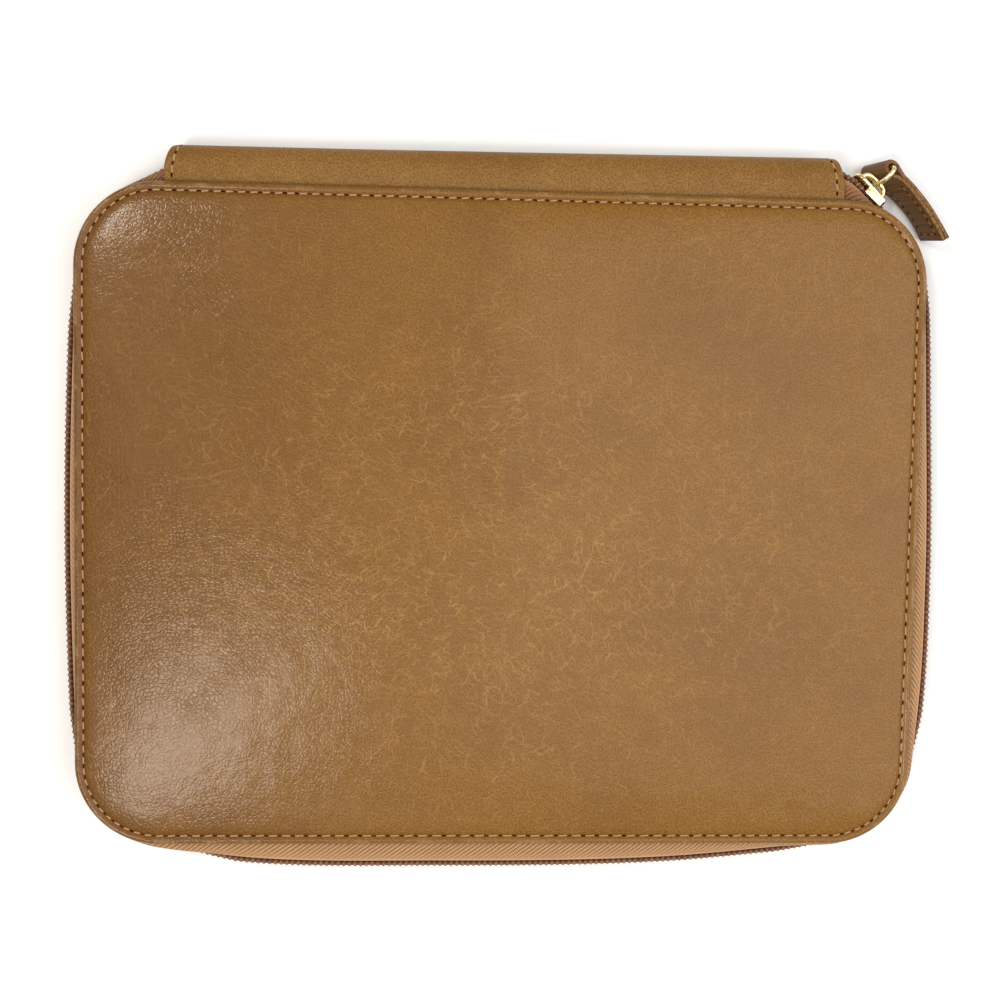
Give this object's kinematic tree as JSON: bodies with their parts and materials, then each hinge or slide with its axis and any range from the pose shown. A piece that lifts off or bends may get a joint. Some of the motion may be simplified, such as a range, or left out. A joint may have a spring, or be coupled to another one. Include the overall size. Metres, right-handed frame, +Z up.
{
  "type": "document case",
  "caption": "Zip-round leather document case with rounded corners, a wrapped spine and a leather pull, closed and lying flat.",
  "frame": {"origin": "centre of the back cover's flat underside", "axes": "+Z up out of the front cover, +X along the spine towards the zip slider, +Y from the case's middle towards the spine"},
  "size_m": [0.3227, 0.2649, 0.0216],
  "materials": {
    "leather": "coated, fine grain",
    "pull_leather": "coated, in two layers",
    "zip_tape": "twill",
    "zip_coil": "nylon coil",
    "gold": "polished"
  },
  "bodies": {
    "root": {"front_cover": "leather", "back_cover": "leather", "spine": "leather", "zip_tape_front": "zip_tape", "zip_tape_back": "zip_tape", "zip_coil_front": "zip_coil", "zip_coil_back": "zip_coil", "slider": "gold", "pull_strap": "pull_leather", "pull_ring": "gold"}
  },
  "joints": []
}
